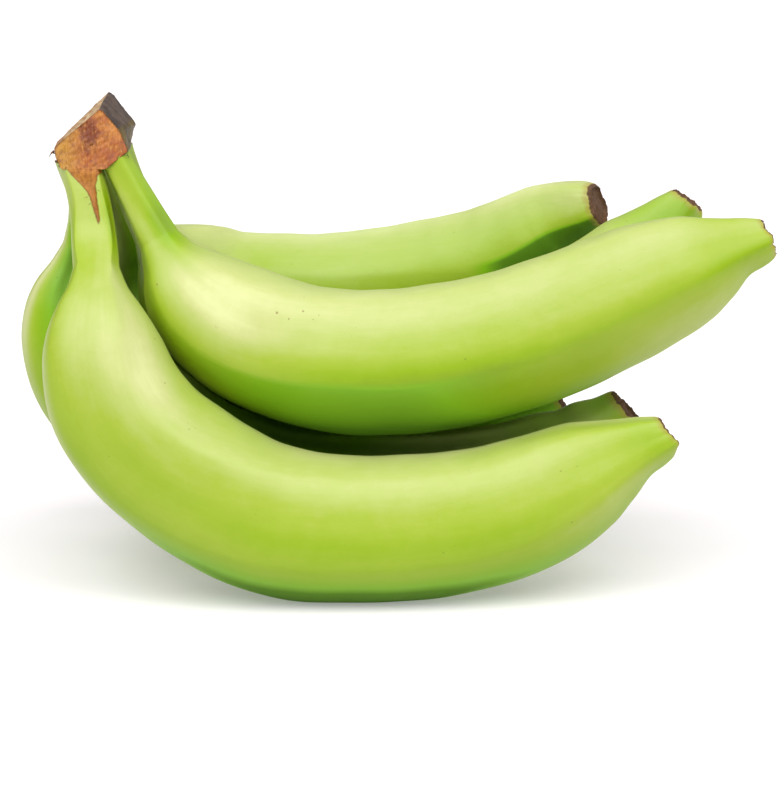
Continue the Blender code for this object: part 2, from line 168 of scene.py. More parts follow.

# Directions round a finger are degrees, with 0 to the back, 90 up and 180 to the front. A share is a part
# of the length from the crown, and a patch is (direction, share, spread of each, amount).
#   axis: points down the middle, from the crown to the blossom end
#   stalk, stalk_top, stalk_waist: the stalk's length and radii
#   girth: the fruit's radius; neck: how much fuller than plain the blossom end is
#   seat: the crown's plane over it; rests, knifed: whether it lies on the floor, and the knife cut it
#   seed: shifts its small unevenness
#   ridge: (share, direction) of its first ridge
#   rim, burn: how far the rim stands out and how wide its dried edge is, each by direction
#   tilt: direction and height of the rim's slant
#   touches: patches where the skin stands out or gives way
#   stalk_tone: how pale the stalk is; ridge_shade_line: how dark the painted shade line on the first ridge
#       is
#   facet: painted shade, a greener and darker face below that ridge: degrees off it, shares where it starts,
#       is
#     full, fades and ends, and amount
#   patches, green, painted_light_green: patches that are paler, greener or brighter green; many pale and
#       green patches are painted highlight and painted shade over the skin's own colour, and the brighter
#       green ones are painted light on a shaded flank
FINGERS = {
    "finger_outer_front": {
        "stalk": 28, "stalk_top": 5.3, "stalk_waist": 5.1, "girth": 19.4, "seat": OUTER_SEAT, "rests": True,
        "knifed": True, "seed": 1, "stalk_tone": 0.72, "ridge_shade_line": 0.18,
        "axis": (
            (-80.4, -14, 108.5), (-77.9, -16.8, 99.5), (-76, -24, 88.5), (-74.8, -34, 69.5),
            (-69, -37.5, 49), (-53, -38.8, 32.5), (-32, -39, 21.5), (-8, -39, 18.5), (15, -38.5, 20),
            (35.5, -37.5, 25.5), (53.5, -36.5, 34.5), (70.5, -36, 42.5),
        ),
        "ridge": ((0, 207), (0.27, 229), (0.57, 202), (1, 198)),
        "rim": (
            (90, 0), (120, 0), (140, 0.3), (155, 0.55), (160, 0.35), (168, 0.7), (178, 1.25), (188, 1.35),
            (200, 1.7), (212, 1.8), (222, 1.3), (240, 0.5), (270, 0), (320, 0.4), (400, 0.2),
        ),
        "burn": ((90, 0.5), (150, 0.45), (170, 0.2), (200, 0.12), (240, 0.1), (320, 0.4), (400, 0.5)),
        "touches": ((255, 0.965, 45, 0.018, -1), (270, 0.085, 45, 0.05, 1.1)),
        "patches": (
            (137, 0.27, 36, 0.09, 0.6), (192, 0.215, 34, 0.07, 0.85), (100, 0.88, 25, 0.12, -0.35),
            (215, 0.91, 45, 0.09, 0.75), (150, 0.975, 35, 0.03, -0.4), (98, 0.33, 24, 0.13, -0.5),
            (190, 0.145, 60, 0.03, 0.1), (248, 0.33, 16, 0.16, 1), (112, 0.075, 26, 0.045, -1.4),
            (244, 0.07, 18, 0.06, -0.5), (200, 0.18, 35, 0.05, 0.15), (203, 0.38, 26, 0.14, 0.3),
            (203, 0.64, 13, 0.2, 0.4), (75, 0.68, 26, 0.34, 0.35), (133, 0.94, 34, 0.06, -0.3),
            (243, 0.68, 20, 0.15, -0.4),
        ),
        "green": ((243, 0.62, 23, 0.18, 2.9), (130, 0.98, 30, 0.03, 0.15)),
    },
    "finger_outer_middle": {
        "stalk": 22, "stalk_top": 5.4, "stalk_waist": 4.5, "girth": 18.6, "seat": OUTER_SEAT, "rests": True,
        "seed": 2, "stalk_tone": 0.6,
        "axis": (
            (-83.2, -1.5, 108.5), (-81.2, -2, 99), (-82, -3, 85.5), (-84.4, -3, 70), (-80.8, -3, 54),
            (-67.7, -3, 38.5), (-50.5, -3, 26), (-27.5, -3, 19), (-3, -3, 17.8), (15.5, -3, 19),
            (32, -3, 22.5), (45, -3, 28.5), (56, -3, 36), (62.5, -3, 43.5),
        ),
        "ridge": ((0, 222), (0.27, 226), (0.57, 218), (1, 208)),
        "rim": (
            (80, 1.2), (110, 1.25), (140, 1.1), (160, 0.9), (175, 0.15), (190, -0.2), (205, -0.5),
            (230, -0.7), (270, -0.3), (330, 0.3), (400, 0.8),
        ),
        "burn": ((80, 0.6), (150, 1.1), (190, 1), (215, 0.5), (270, 0.5), (400, 0.6)),
        "touches": ((95, 0.957, 55, 0.03, 2.7), (250, 0.145, 35, 0.035, 0.8)),
        "patches": ((241, 0.155, 18, 0.08, 1.6), (190, 0.12, 30, 0.1, -0.5), (105, 0.85, 60, 0.14, 0.1)),
        "green": (
            (196, 0.14, 18, 0.08, 1.5), (195, 0.05, 30, 0.06, 1.6), (95, 0.53, 60, 0.14, 2),
            (110, 0.9, 60, 0.08, 0.4), (120, 0.985, 60, 0.02, 0.5),
        ),
    },
    "finger_outer_back": {
        "stalk": 30, "stalk_top": 4.8, "stalk_waist": 4.5, "girth": 18.4, "seat": OUTER_SEAT, "rests": True,
        "seed": 3, "stalk_tone": 0.3,
        "axis": (
            (-81.4, 8.4, 108.5), (-78, 9.4, 98.5), (-76.8, 13.8, 88), (-79.5, 22.3, 74), (-81.5, 28.3, 59),
            (-73, 32.5, 42.5), (-57.5, 33.5, 29.5), (-37.5, 33.5, 20.5), (-14, 33.5, 17.4), (10, 33, 19),
            (31, 32, 26), (49, 32, 36),
        ),
        "ridge": ((0, 220), (0.27, 224), (0.57, 218), (1, 212)),
        "rim": (
            (90, 0.2), (130, 0.5), (160, 0.1), (190, 0.6), (220, 0.2), (260, 0.5), (300, -0.1), (400, 0.4),
        ),
        "burn": ((90, 1.2), (200, 1), (300, 0.7), (400, 1.2)),
        "touches": ((85, 0.105, 55, 0.05, 3.2), (80, 0.155, 45, 0.04, 3)),
        "patches": ((155, 0.11, 22, 0.06, 2.2),),
        "green": ((90, 0.95, 90, 0.12, 2), (88, 0.13, 32, 0.09, 2)),
    },
    "finger_inner_front": {
        "stalk": 23, "stalk_top": 3.9, "stalk_waist": 4.5, "girth": 19, "seat": INNER_SEAT, "seed": 4,
        "stalk_tone": 0.25, "ridge_shade_line": 0.2, "facet": (-4, 0.18, 0.36, 0.5, 0.66, 1),
        "axis": (
            (-71.2, -13, 109.8), (-66.1, -15, 100.5), (-60, -18, 89.5), (-52.5, -20.5, 78),
            (-41, -22.5, 68.5), (-24, -24, 62), (-1, -25, 60), (26.5, -25, 64.5), (53.5, -25, 74.5),
            (76.5, -25, 84.5), (96.5, -25, 92),
        ),
        "ridge": ((0, 224), (0.28, 205), (0.43, 191), (1, 188)),
        "rim": (
            (90, 0.1), (139, -0.3), (150, 0.1), (157, 0.5), (173, 0.75), (186, 0.6), (198, 0.3), (215, 0.6),
            (244, 0.4), (270, 0.2), (330, 0.5), (400, 0),
        ),
        "burn": ((90, 0.45), (150, 0.3), (180, 0.2), (240, 0.12), (330, 0.4), (400, 0.5)),
        "touches": ((255, 0.962, 50, 0.02, -1.3),),
        "patches": (
            (160, 0.29, 42, 0.12, 0.45), (174, 0.23, 28, 0.09, 1), (195, 0.5, 16, 0.12, -0.25),
            (178, 0.78, 30, 0.16, 0.15), (238, 0.86, 45, 0.16, 0.85), (138, 0.11, 46, 0.045, -0.9),
            (195, 0.16, 22, 0.05, 0.35), (125, 0.96, 50, 0.045, -0.35), (265, 0.97, 25, 0.03, -0.5),
            (218, 0.06, 28, 0.05, 0.4), (185, 0.11, 20, 0.05, 0.5), (112, 0.48, 28, 0.2, 0.3),
        ),
        "green": (
            (140, 0.115, 44, 0.032, 0.3), (110, 0.05, 32, 0.06, 0.25), (100, 0.45, 26, 0.3, 0.15),
            (262, 0.5, 24, 0.2, 1.6), (258, 0.21, 22, 0.08, -1), (225, 0.48, 32, 0.09, 0.45),
        ),
        "painted_light_green": ((250, 0.22, 20, 0.09, 1),),
    },
    "finger_inner_middle": {
        "stalk": 23, "stalk_top": 3.8, "stalk_waist": 4.4, "girth": 18.2, "seat": INNER_SEAT, "seed": 5,
        "stalk_tone": 0.4,
        "axis": (
            (-72.7, -1, 109.5), (-69, 1, 100.5), (-62.8, 4, 87), (-55, 7, 73), (-44, 9, 60.5),
            (-25, 10.5, 53.5), (-1, 11, 52), (24, 11, 55.5), (46.5, 10.5, 65), (65, 10, 80), (79.4, 9, 97.6),
        ),
        "ridge": ((0, 214), (0.27, 206), (0.57, 198), (1, 192)),
        "rim": (
            (90, -0.3), (120, 0.2), (145, 0.4), (165, 0.65), (180, 0.3), (195, 0.5), (215, 0.45), (240, 0),
            (270, 0.2), (330, 0.4), (400, 0.1),
        ),
        "burn": ((90, 0.45), (130, 0.5), (170, 0.5), (200, 0.35), (260, 0.3), (400, 0.45)),
        "touches": ((110, 0.93, 60, 0.05, 1.2),),
        "patches": ((150, 0.96, 90, 0.05, -0.45),),
        "green": ((150, 0.96, 90, 0.06, 0.45),),
    },
    "finger_inner_back": {
        "stalk": 32, "stalk_top": 3.7, "stalk_waist": 4.4, "girth": 18.2, "neck": 1.26, "seat": INNER_SEAT,
        "seed": 6, "stalk_tone": 0.4, "tilt": (150, 1.2), "facet": (-76.5, 0.765, 0.84, 1.2, 1.3, 2),
        "axis": (
            (-73, 12, 109.5), (-70.6, 19, 98.5), (-64.5, 33, 82.5), (-55.5, 45.5, 71), (-45, 50, 66),
            (-32.5, 51, 64.3), (-17.5, 50.5, 64), (-0.5, 49.5, 66.5), (16.5, 47, 70.4), (33.5, 43, 77.6),
            (46, 38.5, 87.3), (57.3, 31, 93.5),
        ),
        "ridge": ((0, 222), (0.5, 222), (0.8, 240), (0.91, 247), (1, 266)),
        "rim": ((90, 0.1), (130, 0.3), (165, 0), (200, 0.3), (240, 0.1), (280, 0.3), (330, 0), (400, 0.2)),
        "burn": ((90, 0.8), (180, 0.6), (240, 0.5), (300, 0.8), (400, 0.8)),
        "touches": ((85, 0.99, 45, 0.02, -0.3),),
        "patches": (
            (82, 0.6, 30, 0.38, 0.85), (142, 0.4, 22, 0.09, -0.3), (142, 0.8, 22, 0.16, -0.15),
            (155, 0.98, 25, 0.03, 0.5), (97, 0.9, 16, 0.05, 0.5),
        ),
        "green": ((235, 0.5, 45, 0.22, 0.5), (110, 0.58, 62, 0.36, 0.27), (142, 0.84, 20, 0.12, 0.1)),
    },
}

# How the peel's tone and green change round and along a finger, as the two ends of soft steps. Paler towards
# the top is partly the peel's own bloom and partly a painted highlight; darker towards the underside is
# partly its own greener colour and partly painted shade.
PALE_SHEEN_ABOVE = (0.30, 0.75)
DARK_SHADE_BELOW = (-0.30, 0.15)
STALK_TONE_FADES = (0.09, 0.15)
# Painted shade line along the first ridge: where it sets in and how wide it is
RIDGE_SHADE_STARTS = (0.40, 0.62)
RIDGE_SHADE_WIDTH = 0.10
# Edges of the painted shade on the face below a ridge
FACET_EDGE = (0.0, 7.0)
FACET_END = (100.0, 140.0)

# Peel colours, linear, from a dark olive that is painted shade, through the greens, to the palest bloom,
# which is partly a painted highlight
DEEPEST_SHADE = -1.0
PALEST_BLOOM_AND_SHEEN = 2.2
PEEL_TONES = (
    (-1.0, (0.120, 0.160, 0.003)), (0.0, (0.228, 0.358, 0.004)), (0.5, (0.299, 0.402, 0.032)),
    (1.0, (0.384, 0.458, 0.116)), (1.4, (0.482, 0.515, 0.200)), (2.2, (0.705, 0.750, 0.390)),
)
# Greens mixed over the tone: the plain green is partly the peel's own and partly painted shade, the darker
# one is mostly painted shade under and between the fingers, and the bright one is painted light on a shaded
# flank
PEEL_GREEN = (0.178, 0.385, 0.004)
PEEL_SHADE_GREEN = (0.078, 0.190, 0.002)
PEEL_PAINTED_LIGHT = (0.430, 0.575, 0.020)
# Mean of the noise that is added to the tone
TONE_NOISE_MEAN = 0.45
EXPOSURE = 0.69

# Small brown specks on the front fingers: place and size
SPECKS = (
    (-29.3, -42.6, 74.3, 0.42), (-26.3, -43.3, 72.9, 0.30), (-22.7, -42.2, 74.7, 0.36),
    (-18.7, -42.6, 73.8, 0.28), (-20.2, -43.2, 72.8, 0.24), (-60.3, -34.8, 80.4, 0.42),
    (-57.2, -51.3, 57.9, 0.36), (-60.1, -44.6, 68.0, 0.32), (-15.6, -50.0, 36.5, 0.36),
    (42.2, -55.6, 36.2, 0.30),
)

# Floor: half its width in metres, its colour, and a faint glow that keeps it pale
FLOOR_REACH = 12.0
FLOOR_COLOUR = (0.68, 0.645, 0.665)
FLOOR_GLOW = 0.28

# Soft studio lamps: name, direction round from the camera towards the right, height, strength
LAMPS = (
    ("key_front", 0, 50, 2.3), ("key_right", 60, 50, 1.5), ("key_left", 300, 50, 1.4),
    ("back_right_low", 120, 18, 0.6), ("back_high", 180, 50, 0.14), ("back_low", 180, 18, 0.14),
    ("back_left", 240, 50, 0.4),
)
LAMP_WIDTH = 48
AMBIENT = 0.08

# Camera at the photograph's angle, in metres
FRAME_SIZE = (784, 786)
SENSOR = 36.0
FOCAL_PIXELS = 2700.0
ELEVATION = math.radians(11.0)
DISTANCE = 0.725
TARGET = (-0.0002, -0.0058, 0.0465)


def seen(red, green, blue):
    """The linear colour that a surface needs to show these display values under the studio lamps."""
    shares = [channel / 255.0 for channel in (red, green, blue)]
    return tuple(EXPOSURE * (c / 12.92 if c <= 0.04045 else ((c + 0.055) / 1.055) ** 2.4) for c in shares)


def unit(vectors):
    return vectors / np.linalg.norm(vectors, axis=-1, keepdims=True)


def spline_through(points):
    """A natural cubic spline through the points, as many small steps and the distance run at each."""
    knots = np.array(points, float)
    spans = np.linalg.norm(np.diff(knots, axis=0), axis=1)
    reached = np.concatenate(([0.0], np.cumsum(spans)))
    last = len(knots) - 1
    system = np.eye(last + 1)
    pull = np.zeros((last + 1, 3))
    for k in range(1, last):
        system[k, k - 1:k + 2] = (spans[k - 1], 2 * (spans[k - 1] + spans[k]), spans[k])
        pull[k] = 6 * ((knots[k + 1] - knots[k]) / spans[k] - (knots[k] - knots[k - 1]) / spans[k - 1])
    bend = np.linalg.solve(system, pull)
    steps = np.linspace(0.0, reached[-1], SPLINE_STEPS)
    part = np.clip(np.searchsorted(reached, steps, side="right") - 1, 0, last - 1)
    ahead = (steps - reached[part])[:, None]
    behind = (reached[part + 1] - steps)[:, None]
    span = spans[part][:, None]
    curve = (bend[part] * behind**3 + bend[part + 1] * ahead**3) / (6 * span)
    curve += (knots[part] / span - bend[part] * span / 6) * behind
    curve += (knots[part + 1] / span - bend[part + 1] * span / 6) * ahead
    run = np.concatenate(([0.0], np.cumsum(np.linalg.norm(np.diff(curve, axis=0), axis=1))))
    return curve, run


def smooth_between(at, knots):
    """A monotone cubic curve through (position, value) knots, read at the given positions."""
    place, value = np.array(knots, float).T
    step = np.diff(place)
    slope = np.diff(value) / step
    lean = np.zeros(len(place))
    lean[0] = slope[0]
    lean[-1] = slope[-1]
    for k in range(1, len(place) - 1):
        if slope[k - 1] * slope[k] > 0:
            lean[k] = 2 * slope[k - 1] * slope[k] / (slope[k - 1] + slope[k])
    part = np.clip(np.searchsorted(place, at, side="right") - 1, 0, len(step) - 1)
    share = np.clip((at - place[part]) / step[part], 0.0, 1.0)
    rise = share * share * (3 - 2 * share)
    low = share * (1 - share) ** 2 * step[part] * lean[part]
    high = share * share * (share - 1) * step[part] * lean[part + 1]
    return value[part] * (1 - rise) + value[part + 1] * rise + low + high


def smoothstep(low, high, value):
    share = np.clip((value - low) / (high - low), 0.0, 1.0)
    return share * share * (3 - 2 * share)


def soft_max(a, b, radius):
    """The larger of two values, with the corner between them rounded."""
    return 0.5 * (a + b + np.sqrt((a - b) ** 2 + radius * radius))


def around(angle, knots):
    """A value round the blossom end, from (direction in degrees, value) knots."""
    place, value = np.array(knots, float).T
    return np.interp(angle, place, value, period=360.0)


def patch_sum(patches, direction, share):
    """Soft round patches on the skin, each (direction, share, spread of each, amount), added up."""
    total = np.zeros(np.shape(direction))
    for middle, place, wide, long, amount in patches:
        off = (direction - middle + 180.0) % 360.0 - 180.0
        total = total + amount * np.exp(-(off / wide) ** 2 - ((share - place) / long) ** 2)
    return total


def radius_along(finger, run, length):
    """Stalk radius up to the fruit, then the fruit's profile, with the neck made fuller where asked."""
    stalk = finger["stalk"]
    along_fruit = np.clip((run - stalk) / (length - stalk), 0.0, 1.0)
    fullness = 1 + (finger["neck"] - 1) * smoothstep(NECK_START, 1.0, along_fruit)
    fruit = smooth_between(along_fruit, FRUIT_PROFILE) * finger["girth"] * fullness
    root = FRUIT_PROFILE[0][1] * finger["girth"]
    top = finger["stalk_top"]
    stalk_knots = (
        (-STALK_OVERRUN, top + STALK_FLARE), (0.0, top),
        (STALK_WAIST_AT * stalk, finger["stalk_waist"]), (stalk, root),
    )
    return np.where(run < stalk, smooth_between(run, stalk_knots), fruit)


class Skin:
    """A finger's skin as a function of the distance along it and the turn around it."""

    def __init__(self, finger):
        self.finger = finger
        curve, run = spline_through(finger["axis"])
        self.length = run[-1]
        self.stations = np.linspace(-STALK_OVERRUN, self.length, DENSE)
        centres = np.stack([np.interp(self.stations, run, curve[:, k]) for k in range(3)], axis=-1)
        self.centres = centres + unit(curve[0] - curve[1]) * np.clip(-self.stations, 0.0, None)[:, None]
        along = np.gradient(self.centres, axis=0)
        kernel = np.hanning(2 * AXIS_SMOOTHING + 1)
        padded = np.pad(along, ((AXIS_SMOOTHING, AXIS_SMOOTHING), (0, 0)), mode="edge")
        along = np.stack([np.convolve(padded[:, k], kernel, mode="valid") for k in range(3)], axis=-1)
        self.along = unit(along)
        self.across = unit(np.array((0.0, 1.0, 0.0)) - self.along[:, 1:2] * self.along)
        self.above = np.cross(self.along, self.across)
        self.radius = radius_along(finger, self.stations, self.length)
        share = np.clip(self.stations / self.length, 0.0, 1.0)
        self.first_ridge = smooth_between(share, finger["ridge"])
        fruit_share = np.clip((self.stations - finger["stalk"]) / finger["stalk"], 0.0, 1.0)
        height = RIDGE_ON_STALK + (RIDGE_ON_FRUIT - RIDGE_ON_STALK) * fruit_share
        self.height = height + (RIDGE_ON_NECK - RIDGE_ON_FRUIT) * smoothstep(*RIDGE_NECK_AT, share)

    def read(self, values, station):
        if values.ndim == 1:
            return np.interp(station, self.stations, values)
        return np.stack([np.interp(station, self.stations, values[:, k]) for k in range(3)], axis=-1)

    def points(self, station, turn):
        """Skin points, in millimetres, for arrays of stations and turns."""
        seed = self.finger["seed"]
        share = station / self.length
        angle = np.radians(self.read(self.first_ridge, station)) + turn
        uneven = 1.0
        for amount, waves, shift, along in RIDGE_UNEVENNESS:
            uneven = uneven + amount * np.sin(turn * waves + seed * shift + share * along)
        ridges = 1 - np.abs(np.sin(RIDGES * turn / 2)) ** RIDGE_SHARPNESS - RIDGE_MEAN
        lumps = 0.0
        for amount, along, shift, waves in LUMPS:
            lumps = lumps + amount * np.sin(along * share * math.pi + shift * seed + waves * turn)
        reach = self.read(self.radius, station)
        reach = reach * (1 + self.read(self.height, station) * ridges * uneven + lumps)
        reach = reach + patch_sum(self.finger["touches"], np.degrees(angle), share)
        near_end = np.clip(1 - (self.length - station) / LIP_LENGTH, 0.0, 1.0)
        reach = reach - LIP_ROUNDING * near_end * near_end
        sideways = (reach * np.cos(angle) * SIDE_SQUEEZE)[..., None] * self.read(self.across, station)
        upward = (reach * np.sin(angle))[..., None] * self.read(self.above, station)
        return self.read(self.centres, station) + sideways + upward

    def seat_stations(self, turn):
        """Where each line of the skin meets the plane that the crown sits on."""
        probe = np.linspace(-STALK_OVERRUN, SEAT_SEARCH, SEAT_STEPS)
        grid_station, grid_turn = np.meshgrid(probe, turn, indexing="ij")
        past = past_seat(self.points(grid_station, grid_turn), self.finger["seat"]) - SEAT_OVERLAP
        last = len(probe) - 1 - np.argmax((past > 0)[::-1], axis=0)
        last = np.clip(last, 0, len(probe) - 2)
        columns = np.arange(len(turn))
        high = past[last, columns]
        low = past[last + 1, columns]
        return probe[last] + (probe[last + 1] - probe[last]) * high / (high - low)

    def ring_stations(self, turn):
        """Where every ring of the skin lies, crowded towards the ends and fitted to the crown at the top."""
        even = np.linspace(0.0, 1.0, RINGS)
        crowded = even - END_CROWDING * np.sin(2 * math.pi * even)
        seat = self.seat_stations(turn)
        start = seat.mean()
        station = start + crowded * (self.length - start)
        fade = np.clip(1 - (station - start) / SEAT_BLEND, 0.0, 1.0) ** 2
        station = station[:, None] + fade[:, None] * (seat - start)[None, :]
        station[-1, :] = self.length
        return station


def past_seat(points, seat):
    """How far points lie past the plane that the crown sits on."""
    (seat_x, seat_z), (normal_x, normal_z) = seat
    return (points[..., 0] - seat_x) * normal_x + (points[..., 2] - seat_z) * normal_z


def inside_distance(points, outline):
    """Signed distance of 2-D points from a closed outline, positive inside."""
    outline = np.array(outline, float)
    nearest = np.full(len(points), np.inf)
    inside = np.zeros(len(points), bool)
    for a, b in zip(outline, np.roll(outline, -1, axis=0)):
        edge = b - a
        share = np.clip(((points - a) @ edge) / (edge @ edge), 0.0, 1.0)
        nearest = np.minimum(nearest, np.linalg.norm(points - a - share[:, None] * edge, axis=1))
        crosses = (a[1] > points[:, 1]) != (b[1] > points[:, 1])
        with np.errstate(divide="ignore", invalid="ignore"):
            cut_x = a[0] + (points[:, 1] - a[1]) * edge[0] / edge[1]
        inside ^= crosses & (points[:, 0] < cut_x)
    return np.where(inside, nearest, -nearest)


def knife_front(height):
    """How far forward the knife's cut face stands at a height."""
    return KNIFE_FRONT + (height - KNIFE_HEIGHT) * KNIFE_LEAN


def grid_faces(rows, columns):
    """Quads between closed rings of vertices."""
    base = np.arange(rows - 1)[:, None] * columns
    here = np.arange(columns)[None, :]
    after = (here + 1) % columns
    below = base + columns
    return np.stack([base + here, below + here, below + after, base + after], axis=-1).reshape(-1, 4)


def mesh_object(name, points, quads, triangles, fields, material):
    """A smooth mesh object in metres over the origin, with a float attribute for each field."""
    mesh = bpy.data.meshes.new(name)
    at = (np.asarray(points) - (MIDDLE[0], MIDDLE[1], 0.0)) * MM
    faces = [tuple(face) for face in quads.tolist()] + [tuple(face) for face in triangles]
    mesh.from_pydata(at.tolist(), [], faces)
    for field, values in fields.items():
        layer = mesh.attributes.new(field, "FLOAT", "POINT")
        layer.data.foreach_set("value", np.asarray(values, np.float32))
    mesh.materials.append(material)
    mesh.shade_smooth()
    mesh.validate()
    made = bpy.data.objects.new(name, mesh)
    bpy.context.scene.collection.objects.link(made)
    return made


def scar_rings(skin, rim, turn, tilt):
    """Rings of the dried scar inside the rim, their depths for the colour, and the point in the middle."""
    seed = skin.finger["seed"]
    centre = skin.centres[-1]
    tip_along = skin.along[-1]
    pits = sum(depth * np.sin(waves * turn + shift * seed) for depth, waves, shift in SCAR_PITS)
    rings = []
    depths = []
    for k, (share, depth) in enumerate(SCAR):
        rough = pits * min(1.0, share * 1.2) * (0 if k < 2 else 1) * math.cos(k * 1.7)
        inward = centre + share * (rim - centre)
        flat = ((inward - centre) @ tip_along - share * tilt) * (1 - share) * SCAR_FLATNESS
        rings.append(inward - (flat + depth + rough)[:, None] * tip_along)
        depths.append(-0.2 - depth - 0.3 * k)
    return np.array(rings), np.array(depths), centre - SCAR[-1][1] * tip_along


def knife_cut(points):
    """Points of the front stalk flattened where the knife ran, and how deep inside the tongue each lies."""
    below = np.clip(KNIFE_LEAVES - points[:, 2], 0.0, None)
    plane = knife_front(points[:, 2]) - KNIFE_CURL * below**2
    high = points[:, 2] > KNIFE_LEAVES - KNIFE_REACH
    flattened = soft_max(points[:, 1], plane, KNIFE_ROUNDING)
    moved = np.stack([points[:, 0], flattened, points[:, 2]], axis=-1)
    points = np.where((high & (points[:, 1] < KNIFE_SIDE))[:, None], moved, points)
    front = high & (points[:, 1] < plane + KNIFE_DEPTH)
    cut = np.where(front, inside_distance(points[:, [0, 2]], TONGUE), OFF_CUT)
    sunk = smoothstep(-0.1, 0.5, cut) * (1 - smoothstep(*TONGUE_FADE, points[:, 2]))
    points[:, 1] += TONGUE_DEPTH * sunk
    return points, cut


def peel_fields(skin, station, turn):
    """What the peel's colour reads at each point: its place, and how pale, green and bright it is, much of
    it painted highlight, painted shade and painted light.
    """
    finger = skin.finger
    share = station / skin.length
    angle = np.radians(skin.read(skin.first_ridge, station)) + turn
    direction = np.degrees(angle)
    up = np.sin(angle)
    # Paler above and darker below: partly the peel's own colour, partly a painted highlight on top and
    # painted shade underneath
    tone = 0.5 + 0.5 * smoothstep(*PALE_SHEEN_ABOVE, up) - 0.5 * smoothstep(*DARK_SHADE_BELOW, -up)
    tone += (1 - smoothstep(*STALK_TONE_FADES, share)) * (finger["stalk_tone"] - tone)
    # Patches: many brighten shaded spots as painted light and darken others as painted shade
    tone += patch_sum(finger["patches"], direction, share)
    # A painted shade line along the first ridge
    off_ridge = (turn + math.pi) % (2 * math.pi) - math.pi
    line = np.exp(-(off_ridge / RIDGE_SHADE_WIDTH) ** 2) * smoothstep(*RIDGE_SHADE_STARTS, share)
    tone -= finger["ridge_shade_line"] * line
    # Painted shade: a greener, darker face below that ridge
    ridge_turn, starts, full, fades, ends, amount = finger["facet"]
    past = (np.degrees(turn) - ridge_turn + 180.0) % 360.0 - 180.0
    under = smoothstep(*FACET_EDGE, past) * (1 - smoothstep(*FACET_END, past))
    # Green patches: partly the peel's own greener parts, partly painted shade on undersides and between
    # fingers
    green = patch_sum(finger["green"], direction, share)
    green += amount * under * smoothstep(starts, full, share) * (1 - smoothstep(fades, ends, share))
    # The brighter green field is painted light on a shaded flank
    return {
        "tone": tone, "green": green, "painted_light_green": patch_sum(finger["painted_light_green"], direction, share),
        "along": station, "round_x": np.cos(turn), "round_y": np.sin(turn),
    }


def make_finger(name, finger, material):
    skin = Skin(finger)
    turn = np.arange(SIDES) * 2 * math.pi / SIDES
    station = skin.ring_stations(turn)
    at = skin.points(station, np.broadcast_to(turn, station.shape))

    direction = np.degrees(turn) + finger["ridge"][-1][1]
    tilt_toward, tilt_height = finger["tilt"]
    tilt = tilt_height * np.cos(np.radians(direction - tilt_toward))
    ragged = around(direction, finger["rim"])
    for height, teeth, shift in RIM_TEETH:
        ragged += height * np.sin(teeth * turn + shift * finger["seed"])
    for reach, lift in ((TILT_BLEND, tilt), (RIM_BLEND, ragged)):
        near = smoothstep(skin.length - reach, skin.length, station)
        at = at + (near * lift[None, :])[..., None] * skin.along[-1]

    scar, depths, middle = scar_rings(skin, at[-1], turn, tilt)
    grid = np.concatenate([at, scar], axis=0)
    rows = len(grid)
    points = grid.reshape(-1, 3)
    to_rim = np.concatenate([skin.length - station, np.repeat(depths[:, None], SIDES, axis=1)], axis=0)
    all_stations = np.concatenate([station, np.full((len(SCAR), SIDES), skin.length)], axis=0)
    cut = np.full(len(points), OFF_CUT)
    if finger["knifed"]:
        points, cut = knife_cut(points)
    if finger["rests"]:
        low = points[:, 2] < REST_HEIGHT
        points[:, 2] = np.where(low, soft_max(points[:, 2], 0.0, REST_ROUNDING), points[:, 2])
        points[:, 2] = np.maximum(points[:, 2], 0.0)

    fields = peel_fields(skin, all_stations.reshape(-1), np.tile(turn, rows))
    fields["to_rim"] = to_rim.reshape(-1)
    fields["burn"] = np.tile(around(direction, finger["burn"]), rows)
    fields["to_seat"] = -past_seat(points, finger["seat"])
    fields["cut"] = cut
    fields = {key: np.concatenate([value, [value[-1]]]) for key, value in fields.items()}
    points = np.concatenate([points, [middle]], axis=0)
    last = (rows - 1) * SIDES
    tip = [(last + k, len(points) - 1, last + (k + 1) % SIDES) for k in range(SIDES)]
    top = [tuple(range(SIDES))]
    made = mesh_object(name + "_skin", points, grid_faces(rows, SIDES), tip + top, fields, material)
    bake_map(made, rows)
    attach(made, "root")
    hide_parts(name)
    return made


def bake_map(made, rows):
    """A map for baking: the skin unrolled, with the top's cap in a corner strip."""
    mesh = made.data
    layer = mesh.uv_layers.new(name="OFBake")
    corners = np.zeros(len(mesh.loops), np.int32)
    mesh.loops.foreach_get("vertex_index", corners)
    starts = np.zeros(len(mesh.polygons), np.int32)
    totals = np.zeros(len(mesh.polygons), np.int32)
    mesh.polygons.foreach_get("loop_start", starts)
    mesh.polygons.foreach_get("loop_total", totals)
    row = corners // SIDES
    column = (corners % SIDES).astype(float)
    face = np.repeat(np.arange(len(starts)), totals)
    widest = np.maximum.reduceat(column, starts)[face]
    wraps = (totals[face] <= 4) & (widest == SIDES - 1) & (column == 0) & (row < rows)
    column = np.where(wraps, SIDES, column)
    skin_rows = rows - len(SCAR)
    v = np.where(row < skin_rows, 0.9 * row / skin_rows, 0.9 + 0.06 * (row - skin_rows) / len(SCAR))
    tip = row >= rows
    middle_column = np.minimum.reduceat(np.where(tip, np.inf, column), starts)[face] + 0.5
    u = np.where(tip, middle_column, column) / SIDES
    v = np.where(tip, 0.965, v)
    cap = totals[face] > 4
    theta = 2 * math.pi * (corners % SIDES) / SIDES
    u = np.where(cap, 0.02 + 0.012 * np.cos(theta), u)
    v = np.where(cap, 0.984 + 0.012 * np.sin(theta), v)
    layer.uv.foreach_set("vector", np.stack([u, v], axis=-1).astype(np.float32).ravel())


